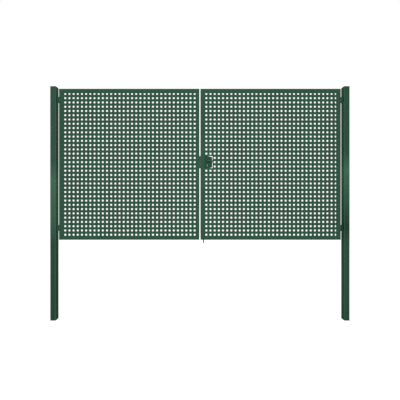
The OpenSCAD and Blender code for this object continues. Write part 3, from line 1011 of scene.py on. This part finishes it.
@dataclass
class Leaf:
    """A leaf: four mitred tubes, the perforated sheet on their front, and its halves of the hinges."""

    shop: Workshop
    side: Side
    has_lock: bool
    hole_shift: float
    tube_corner: float = 2.5 * MM
    corner_segments: int = 4
    columns: int = 32
    rows: int = 34
    pitch_x: float = 44.8 * MM
    pitch_z: float = 45.8 * MM
    hole_width: float = 20 * MM
    hole_corner: float = 4.5 * MM
    hole_segments: int = 4
    cutout_overlap: float = 3.5 * MM
    cutout_end_gap: float = 4.5 * MM
    cutout_side_gap: float = 0.4 * MM
    cutout_corner: float = 3 * MM
    plain_margin: float = 5 * MM
    hinge_edge: float = 0.5 * MM
    mitre_bead: float = 1.3 * MM
    hinge_bead: float = 1.6 * MM
    stitch_bead: float = 1.5 * MM
    stitch: float = 22 * MM
    stitch_spacing: float = 190 * MM
    stitch_stand: float = 0.3 * MM  # from the sheet's back to the middle of a bead
    mitre_inset: float = 1.5 * MM   # from the ends of a mitre to its bead
    mitre_sink: float = 0.55        # how deep in the tube a mitre bead's middle lies, in radii

    @property
    def body(self) -> str:
        """The CAD body of the leaf."""
        return f"{self.side.value}_leaf"

    def node(self, part: str) -> str:
        """The CAD node of one of the leaf's parts."""
        return f"{self.side.value}_{part}"

    def box(self) -> tuple[Vector, Vector]:
        """The lowest and highest corners of the leaf's frame."""
        return whole_box([self.node("hinge_stile"), self.node("lock_stile")])

    def build(self) -> None:
        """Builds the frame, the sheet, the hinge halves and the welds."""
        hinge_edge, lock_edge = (Edge.LEFT, Edge.RIGHT) if self.side is Side.LEFT else (Edge.RIGHT, Edge.LEFT)
        for part, edge in (
            ("hinge_stile", hinge_edge), ("lock_stile", lock_edge),
            ("top_rail", Edge.TOP), ("bottom_rail", Edge.BOTTOM),
        ):
            self.tube(part, edge)
        self.sheet()
        for level in LEVELS:
            hinge = self.node(f"{level}_leaf_hinge")
            add_rounded(hinge, "piece", self.hinge_edge, self.body, self.shop.leaf)
        low, high = self.box()
        hinges = plate_lines(self.side, "leaf_hinge", low.x if self.side is Side.LEFT else high.x)
        for kind, lines, radius in (
            ("mitre", self.mitre_lines(), self.mitre_bead), ("sheet", self.stitch_lines(), self.stitch_bead),
            ("leaf_hinge", hinges, self.hinge_bead),
        ):
            self.shop.welder.lay(self.node(f"{kind}_welds"), self.body, lines, radius, self.shop.leaf)

    def tube(self, part: str, edge: Edge) -> None:
        """One rounded tube of the frame, cut at 45 degrees where it meets its neighbours.

        Args:
            part: The tube's name.
            edge: The edge of the leaf that its long side lies on.
        """
        node = self.node(part)
        low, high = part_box(node)
        is_stile = edge in (Edge.LEFT, Edge.RIGHT)
        width = (high.x - low.x) if is_stile else (high.z - low.z)
        outline = rounded_outline(width, high.y - low.y, self.tube_corner, self.corner_segments)
        middle_y = (low.y + high.y) / 2
        rings: list[list[RingPoint]] = [[], []]
        for across, depth, rub_and_sheen in outline:
            inwards, y = across + width / 2, middle_y + depth
            if is_stile:
                x = low.x + inwards if edge is Edge.LEFT else high.x - inwards
                ends = Vector((x, y, low.z + inwards)), Vector((x, y, high.z - inwards))
            else:
                z = low.z + inwards if edge is Edge.BOTTOM else high.z - inwards
                ends = Vector((low.x + inwards, y, z)), Vector((high.x - inwards, y, z))
            for ring, end in zip(rings, ends):
                ring.append((end, rub_and_sheen))
        add_piece(f"{node}_tube", as_mesh(loft(rings), node), self.body, self.shop.leaf, [node])

    def sheet(self) -> None:
        """The perforated sheet, with the lock's cut-out if this leaf has the lock."""
        nodes = [self.node(f"sheet_{band}") for band in ("top", "middle", "bottom")]
        low, high = whole_box(nodes)
        middle, size = (low + high) / 2, high - low
        cut_low, cut_high = self.cutout()
        cut_middle, cut_size = (cut_low + cut_high) / 2, cut_high - cut_low
        mesh = self.shop.sheets.make(
            self.node("perforated_sheet"), bpy.data.meshes.new("start"), self.shop.leaf,
            Size=(size.x, size.z, size.y), Columns=self.columns, Rows=self.rows,
            Pitch=(self.pitch_x, self.pitch_z, 1.0), Hole_Shift=(self.hole_shift, 0.0, 0.0),
            Hole_Width=self.hole_width, Hole_Corner=self.hole_corner,
            Corner_Segments=self.hole_segments, Has_Cutout=self.has_lock,
            Cutout_Centre=(cut_middle.x - middle.x, cut_middle.z - middle.z, -size.y),
            Cutout_Size=(cut_size.x, cut_size.z, 3 * size.y), Cutout_Corner=self.cutout_corner,
            Plain_Margin=self.plain_margin)
        stand = Matrix.Rotation(math.pi / 2, 4, "X")
        mesh.transform(Matrix.Translation((middle.x, high.y, middle.z)) @ stand)
        add_piece(mesh.name, mesh, self.body, self.shop.leaf, nodes)

    def cutout(self) -> tuple[Vector, Vector]:
        """Finds the cut-out round the lock case.

        Returns:
            Its lowest and highest corners.
        """
        low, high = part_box("lock_case")
        gaps = Vector((self.cutout_end_gap, 0, self.cutout_side_gap))
        start = Vector((low.x - self.cutout_overlap, low.y, low.z - gaps.z))
        return start, high + gaps

    @property
    def rail_width(self) -> float:
        """The width of a frame tube, seen from the front."""
        low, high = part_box(self.node("top_rail"))
        return high.z - low.z

    def mitre_lines(self) -> list[Line]:
        """Finds the mitres on the back of the frame, at its four corners.

        Returns:
            The line of each bead.
        """
        low, high = self.box()
        y = high.y - self.mitre_bead * self.mitre_sink
        lines = []
        for x, sx in ((low.x, 1), (high.x, -1)):
            for z, sz in ((low.z, 1), (high.z, -1)):
                lines.append(tuple(
                    Vector((x + sx * inwards, y, z + sz * inwards))
                    for inwards in (self.mitre_inset, self.rail_width - self.mitre_inset)))
        return lines

    def stitch_lines(self) -> list[Line]:
        """Spaces short welds behind the sheet, along the inner sides of the tubes.

        Returns:
            The line of each bead.
        """
        low, high = self.box()
        width, y = self.rail_width, low.y + self.stitch_stand
        across, upwards = (low.x + width, high.x - width), (low.z + width, high.z - width)
        lines = []
        for (start, end), sides, at in (
            (across, upwards, lambda x, z: Vector((x, y, z))),
            (upwards, across, lambda z, x: Vector((x, y, z))),
        ):
            count = round((end - start) / self.stitch_spacing)
            for step in range(count):
                middle = start + (step + 0.5) * (end - start) / count
                for side in sides:
                    line = (at(middle - self.stitch / 2, side), at(middle + self.stitch / 2, side))
                    if not self.meets_lock(line):
                        lines.append(line)
        return lines

    def meets_lock(self, line: Line) -> bool:
        """Whether a weld would run into the lock case."""
        low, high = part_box("lock_case")
        return self.has_lock and any(
            low.x - self.stitch < p.x < high.x and low.z - self.stitch < p.z < high.z for p in line)


# ---- Lock ----


@dataclass
class Lock:
    """The lock case in the right leaf, its face strip, the keep on the left leaf, and the cylinder."""

    shop: Workshop
    case_edge: float = 0.7 * MM
    front_depth: float = 0.1 * MM   # points no deeper than this lie on the case's front
    lower_edge: float = 7 * MM      # the case is drawn in deeply along its lower edge
    lower_edge_rise: float = 16 * MM
    lower_edge_segments: int = 4
    rim_bead: float = 1.4 * MM
    upper_rim_weld: float = 40 * MM
    lower_rim_weld: float = 80 * MM
    strip_edge: float = 0.2 * MM
    plug_radius: float = 6.2 * MM
    plug_stand: float = 0.6 * MM
    keyway_width: float = 2.2 * MM
    keyway_height: float = 8.5 * MM
    keyway_depth: float = 5 * MM
    round_radius: float = 8.5 * MM
    latch_height: float = 24 * MM
    bolt_height: float = 30 * MM
    pocket_width: float = 11 * MM
    pocket_depth: float = 4 * MM
    screw_radius: float = 4.2 * MM
    screw_height: float = 2.4 * MM
    socket_radius: float = 1.8 * MM
    screw_inset: float = 10 * MM
    screw_stand: float = 0.08 * MM
    plate_corner: float = 0.8 * MM
    pocket_corner: float = 1 * MM
    keyway_corner: float = 0.9 * MM
    plug_edge: float = 0.25 * MM
    plug_floor: float = 1 * MM      # what is left of a plug behind its keyway
    cylinder_edge: float = 0.5 * MM
    bead: float = 1.8 * MM
    body: str = "right_leaf"

    def build(self) -> None:
        """Builds the case, both strips with their screws, the cylinder, and the case's welds."""
        low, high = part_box("lock_case")
        case = merged_copy("lock_case")
        front, rise = low.y + self.front_depth, low.z + self.lower_edge_rise
        lower_front = [
            edge for edge in case.edges if all(end.co.y < front and end.co.z < rise for end in edge.verts)]
        bevel(case, lower_front, self.lower_edge, self.lower_edge_segments)
        soften(case, self.case_edge)
        add_piece("lock_case_box", as_mesh(case, "lock_case"), self.body, self.shop.lock, ["lock_case"])
        self.strip("lock_forend", self.body, -1)
        self.strip("lock_keep", "left_leaf", 1)
        self.cylinder()
        stile_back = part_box("right_lock_stile")[1].y
        rim_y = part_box("right_sheet_middle")[1].y + self.rim_bead / 2
        corner = tuple(Vector((low.x, stile_back, z)) for z in (low.z + self.bead, high.z - self.bead))
        rim = [
            (Vector((low.x, rim_y, z)), Vector((low.x + length, rim_y, z)))
            for z, length in ((low.z, self.lower_rim_weld), (high.z, self.upper_rim_weld))]
        self.shop.welder.lay("lock_case_weld", self.body, [corner], self.bead, self.shop.lock)
        self.shop.welder.lay("lock_rim_welds", self.body, rim, self.rim_bead, self.shop.leaf)

    def strip(self, node: str, body: str, faces: int) -> None:
        """A face strip with the openings of the latch and the bolt, and a screw at each end.

        Args:
            node: The strip's CAD node.
            body: The CAD body that carries it.
            faces: 1 if its face looks towards +X, or -1.
        """
        low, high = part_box(node)
        middle_y, middle_z = (low.y + high.y) / 2, (low.z + high.z) / 2
        face_x = high.x if faces > 0 else low.x
        turn = Matrix.Rotation(faces * math.pi / 2, 4, "Y")
        pockets = []
        for target, height in (("lever_spindle", self.latch_height), ("lock_cylinder", self.bolt_height)):
            target_low, target_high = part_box(target)
            rise = ((target_low.z + target_high.z) / 2 - middle_z) * -faces
            outline = rounded_outline(height, self.pocket_width, self.pocket_corner, 2)
            pockets.append(([(x + rise, y, rub_and_sheen) for x, y, rub_and_sheen in outline], self.pocket_depth))
        outline = rounded_outline(high.z - low.z, high.y - low.y, self.plate_corner, 2)
        plate = plate_with_pockets(outline, pockets, high.x - low.x)
        soften(plate, self.strip_edge)
        place = Matrix.Translation((face_x, middle_y, middle_z)) @ turn
        add_piece(f"{node}_strip", as_mesh(plate, node, place), body, self.shop.leaf, [node])
        points = [
            Vector((face_x + faces * self.screw_stand, middle_y, z))
            for z in (low.z + self.screw_inset, high.z - self.screw_inset)]
        mesh = self.shop.screws.make(
            f"{node}_screws", plain_mesh(node, points), self.shop.zinc, Head_Radius=self.screw_radius,
            Head_Height=self.screw_height, Socket_Radius=self.socket_radius, Turn=turn.to_euler())
        add_piece(mesh.name, mesh, body, self.shop.zinc)

    def cylinder(self) -> None:
        """The profile cylinder, with a plug and its keyway at each end."""
        # Its body is painted darker than its plugs: painted shade.
        add_rounded("lock_cylinder", "body", self.cylinder_edge, self.body, self.shop.shaded_nickel)
        low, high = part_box("lock_cylinder")
        circle = rounded_outline(2 * self.plug_radius, 2 * self.plug_radius, self.plug_radius, 8)
        slot = rounded_outline(self.keyway_width, self.keyway_height, self.keyway_corner, 2)
        for name, y, outwards in (("front", low.y, -1), ("rear", high.y, 1)):
            length = self.keyway_depth + self.plug_floor
            plug = plate_with_pockets(circle, [(slot, self.keyway_depth)], length)
            soften(plug, self.plug_edge)
            place = Matrix.Translation((
                (low.x + high.x) / 2, y + outwards * self.plug_stand, high.z - self.round_radius))
            place = place @ Matrix.Rotation(-outwards * math.pi / 2, 4, "X")
            add_piece(f"cylinder_plug_{name}", as_mesh(plug, name, place), self.body, self.shop.nickel)


@dataclass
class Lever:
    """A lever handle: a round neck that bends into a flat-sided bar with a rounded tip."""

    shop: Workshop
    node: str
    outwards: int                   # -1 for the lever in front, 1 for the one behind
    neck_radius: float = 8 * MM
    bar_width: float = 14 * MM
    bar_corner: float = 3.5 * MM
    bend_radius: float = 9 * MM
    collar_inset: float = 0.9 * MM
    collar_length: float = 2.5 * MM
    collar_edge: float = 0.5 * MM
    shoulder: float = 0.6 * MM      # length of each of the two steps from the collar to the neck
    shoulder_edge: float = 0.3 * MM # how much slimmer than the neck the first step is
    tip_share: float = 0.12         # size of the tip's flat end, as a share of the bar's
    bend_segments: int = 10
    tip_segments: int = 6
    corner_segments: int = 5
    most_corner: float = 0.999      # of half the width: a whole half would make two points of a ring meet
    round_from: float = 0.98        # of half the width: a section with more corner than this is round

    def build(self) -> None:
        """Sweeps the lever's section along its neck, its bend and its bar."""
        low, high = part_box(self.node)
        axis = Vector((low.x + self.neck_radius, 0, (low.z + high.z) / 2))
        root_y, far_y = (high.y, low.y) if self.outwards < 0 else (low.y, high.y)
        bar_y = far_y - self.outwards * self.bar_width / 2
        shape = loft([self.ring(*station) for station in self.stations(axis, root_y, bar_y, high.x)])
        add_piece(f"{self.node}_handle", as_mesh(shape, self.node), "lever", self.shop.leaf, [self.node])

    def stations(
        self, axis: Vector, root_y: float, bar_y: float, tip_x: float,
    ) -> list[tuple[Vector, Vector, float, float]]:
        """The places along the lever at which its section is set.

        Args:
            axis: The spindle's axis; its y is not used.
            root_y: Where the neck starts, next to the case.
            bar_y: The middle of the bar.
            tip_x: The tip of the bar.

        Returns:
            For each place, its middle, the lever's direction there, and the section's width and corner.
        """
        out, along = Vector((0, self.outwards, 0)), Vector((1, 0, 0))
        neck, bar = self.neck_radius * 2, self.bar_width
        root = Vector((axis.x, root_y, axis.z))
        bend_start = Vector((axis.x, bar_y - self.outwards * self.bend_radius, axis.z))
        slim = neck - 2 * self.collar_inset
        made = [
            (root + out * distance, out, width, width / 2)
            for distance, width in (
                (0.0, slim - 2 * self.collar_edge), (self.collar_edge, slim), (self.collar_length, slim),
                (self.collar_length + self.shoulder, neck - 2 * self.shoulder_edge),
                (self.collar_length + 2 * self.shoulder, neck))]
        for step, (sine, cosine) in enumerate(quarter_turn(self.bend_segments)):
            share = step / self.bend_segments
            eased = share * share * (3 - 2 * share)
            made.append((
                bend_start + (along * (1 - cosine) + out * sine) * self.bend_radius,
                out * cosine + along * sine, neck + (bar - neck) * eased,
                neck / 2 + (self.bar_corner - neck / 2) * eased))
        for sine, cosine in quarter_turn(self.tip_segments):
            shrink = cosine * (1 - self.tip_share) + self.tip_share
            middle = Vector((tip_x - bar / 2 * (1 - sine), bar_y, axis.z))
            made.append((middle, along, bar * shrink, self.bar_corner * shrink))
        return made

    def ring(self, middle: Vector, direction: Vector, width: float, corner: float) -> list[RingPoint]:
        """Makes the section at one place along the lever.

        Args:
            middle: Its middle.
            direction: The lever's direction there.
            width: Its width and height.
            corner: The radius of its corners.

        Returns:
            The ring, not painted paler where it is round.
        """
        up = Vector((0, 0, 1))
        aside = up.cross(direction)
        place = Matrix((
            (aside.x, up.x, direction.x, middle.x), (aside.y, up.y, direction.y, middle.y),
            (aside.z, up.z, direction.z, middle.z), (0, 0, 0, 1)))
        corner = min(corner, width / 2 * self.most_corner)
        rubbed_and_sheened = 0.0 if corner > width / 2 * self.round_from else None
        return placed(rounded_outline(width, width, corner, self.corner_segments), place, rubbed_and_sheened)


# ---- Drop bolt ----


@dataclass
class DropBolt:
    """A round bolt behind the right leaf's lock stile, with a bar handle and two welded guides."""

    shop: Workshop
    sides: int = 32
    foot_segments: int = 8
    top_edge: float = 1 * MM
    handle_edge: float = 1.5 * MM
    handle_edge_segments: int = 5
    inner_edge: float = 0.4 * MM    # chamfer of the handle's end in the rod
    guide_edge: float = 1.2 * MM
    bead: float = 1.6 * MM

    def build(self) -> None:
        """Builds the rod, the handle, the guides and their welds."""
        self.rod()
        self.handle()
        lines = []
        for level in LEVELS:
            node = f"{level}_bolt_guide"
            add_rounded(node, "block", self.guide_edge, "right_leaf", self.shop.leaf)
            low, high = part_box(node)
            lines += [upright(x, low.y, low, high) for x in (low.x, high.x)]
        self.shop.welder.lay("bolt_guide_welds", "right_leaf", lines, self.bead, self.shop.leaf)

    def ring(self, radius: float, place: Matrix) -> list[RingPoint]:
        """A circle, nowhere painted paler."""
        steps = (math.tau * i / self.sides for i in range(self.sides))
        return placed([(radius * math.cos(a), radius * math.sin(a), 0.0) for a in steps], place)

    def rod(self) -> None:
        """The rod, with a round lower end and a chamfered top."""
        node = "drop_bolt_rod"
        low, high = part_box(node)
        middle, radius = (low + high) / 2, (high.x - low.x) / 2
        foot = quarter_turn(self.foot_segments)[1:]
        sizes = [(low.z + radius * (1 - cosine), radius * sine) for sine, cosine in foot]
        sizes += [(high.z - self.top_edge, radius), (high.z, radius - self.top_edge)]
        shape = loft([self.ring(r, Matrix.Translation((middle.x, middle.y, z))) for z, r in sizes])
        add_piece("drop_bolt_round_bar", as_mesh(shape, "rod"), "drop_bolt", self.shop.leaf, [node])

    def handle(self) -> None:
        """The bar through the rod, with a rounded free end."""
        node = "drop_bolt_handle"
        low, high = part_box(node)
        middle, radius = (low + high) / 2, (high.x - low.x) / 2
        sizes = [(low.y, radius - self.inner_edge), (low.y + self.inner_edge, radius)]
        sizes += [
            (high.y - self.handle_edge * (1 - sine), radius - self.handle_edge * (1 - cosine))
            for sine, cosine in quarter_turn(self.handle_edge_segments)]
        turn = Matrix.Rotation(-math.pi / 2, 4, "X")
        shape = loft([self.ring(r, Matrix.Translation((middle.x, y, middle.z)) @ turn) for y, r in sizes])
        add_piece("drop_bolt_bar_handle", as_mesh(shape, "handle"), "drop_bolt", self.shop.leaf, [node])


# ---- Studio ----


@dataclass
class Studio:
    """A pale floor under soft, even light, and the camera straight in front."""

    camera_distance: float = 2.8    # from the front of the posts
    camera_offset: float = 0.0011   # to the right of the gate's middle
    camera_height: float = 1.286
    lens: float = 23.64             # focal length in millimetres
    sensor_width: float = 36.0      # in millimetres too
    floor_size: float = 60.0
    softbox_size: tuple[float, float] = (5.0, 3.0)
    world_light: float = 0.30
    front_place: tuple[float, float, float] = (0, -5.5, 1.2)    # of the front softbox, from the gate's middle
    front_power: float = 236.0
    rear_place: tuple[float, float, float] = (0, 5.5, 3.0)
    rear_power: float = 150.0
    floor_glow: float = 0.82

    @property
    def middle(self) -> Vector:
        """The middle of the gate."""
        return (CAD_BOX[0] + CAD_BOX[1]) / 2

    def build(self) -> None:
        """Builds the floor, the surroundings, the lamps and the camera."""
        bpy.context.scene.view_settings.view_transform = "Standard"
        self.floor()
        self.surroundings()
        self.lamp("front softbox", self.front_place, self.front_power)
        self.lamp("rear softbox", self.rear_place, self.rear_power)
        lens = bpy.data.cameras.new("camera")
        lens.sensor_width = self.sensor_width
        lens.lens = self.lens
        camera = bpy.data.objects.new("camera", lens)
        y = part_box("left_post")[0].y - self.camera_distance
        camera.location = (self.middle.x + self.camera_offset, y, self.camera_height)
        camera.rotation_euler = (math.pi / 2, 0, 0)
        bpy.context.scene.collection.objects.link(camera)
        bpy.context.scene.camera = camera

    def seen_directly(self, tree: NodeTree) -> Socket:
        """Adds the nodes that tell whether a ray shows a surface as it looks, and doesn't light it.

        Args:
            tree: The tree that gets the nodes.

        Returns:
            1 for such a ray, or 0.
        """
        ray = add_node(tree, "ShaderNodeLightPath").outputs
        mirrored = add_node(tree, "ShaderNodeMath", {"operation": "MAXIMUM"}, {
            0: ray["Is Glossy Ray"], 1: ray["Is Transmission Ray"]})
        return add_node(tree, "ShaderNodeMath", {"operation": "MAXIMUM"}, {
            0: ray["Is Camera Ray"], 1: mirrored.outputs[0]}).outputs[0]

    def surroundings(self) -> None:
        """White to the eye and in reflections, and softer as a light."""
        world = bpy.data.worlds.new("studio")
        bpy.context.scene.world = world
        tree = empty_tree(world)
        strength = spread(tree, self.seen_directly(tree), (0.0, 1.0), (self.world_light, 1.0))
        light = add_node(tree, "ShaderNodeBackground", inputs={"Color": (1, 1, 1, 1), "Strength": strength})
        add_node(tree, "ShaderNodeOutputWorld", inputs={"Surface": light.outputs[0]})

    def floor(self) -> None:
        """The floor: matt white paint that glows enough to meet the backdrop, and still takes a shadow."""
        half, middle = self.floor_size / 2, self.middle
        signs = ((-1, -1), (1, -1), (1, 1), (-1, 1))
        corners = [Vector((middle.x + x * half, middle.y + y * half, 0.0)) for x, y in signs]
        mesh = plain_mesh("floor", corners, faces=[(0, 1, 2, 3)])
        floor = bpy.data.objects.new("floor", mesh)
        bpy.context.scene.collection.objects.link(floor)
        material = bpy.data.materials.new("matt_white_floor_paint")
        tree = empty_tree(material)
        paint = add_node(tree, "ShaderNodeBsdfDiffuse", inputs={"Color": linear("#d2d2cf")})
        glow = add_node(tree, "ShaderNodeEmission", inputs={
            "Color": (1, 1, 1, 1), "Strength": self.floor_glow})
        lit = add_node(tree, "ShaderNodeAddShader", inputs={0: paint.outputs[0], 1: glow.outputs[0]})
        shown = add_node(tree, "ShaderNodeMixShader", inputs={
            0: self.seen_directly(tree), 1: paint.outputs[0], 2: lit.outputs[0]})
        add_node(tree, "ShaderNodeOutputMaterial", inputs={"Surface": shown.outputs[0]})
        mesh.materials.append(material)

    def lamp(self, name: str, place: tuple[float, float, float], power: float) -> None:
        """Adds a rectangular softbox that looks at the gate's middle, and isn't seen itself.

        Args:
            name: The lamp's name.
            place: Where it stands, from the gate's middle.
            power: Its power in watts.
        """
        data = bpy.data.lights.new(name, "AREA")
        data.shape = "RECTANGLE"
        data.size, data.size_y = self.softbox_size
        data.energy = power
        lamp = bpy.data.objects.new(name, data)
        lamp.location = self.middle + Vector(place)
        lamp.visible_camera = False
        lamp.rotation_euler = (self.middle - lamp.location).to_track_quat("-Z", "Y").to_euler()
        bpy.context.scene.collection.objects.link(lamp)


def main() -> None:
    """Builds the gate from its posts inwards, then the studio."""
    logging.basicConfig(level=logging.INFO, format="%(message)s")
    shop = Workshop()
    for side, hole_shift in HOLE_SHIFTS.items():
        Post(shop, side).build()
        Leaf(shop, side, has_lock=side is Side.RIGHT, hole_shift=hole_shift).build()
    Lock(shop).build()
    Lever(shop, "front_lever", -1).build()
    Lever(shop, "rear_lever", 1).build()
    refinish("lever_spindle", shop.zinc)
    DropBolt(shop).build()
    Studio().build()


if __name__ == "__main__":
    main()
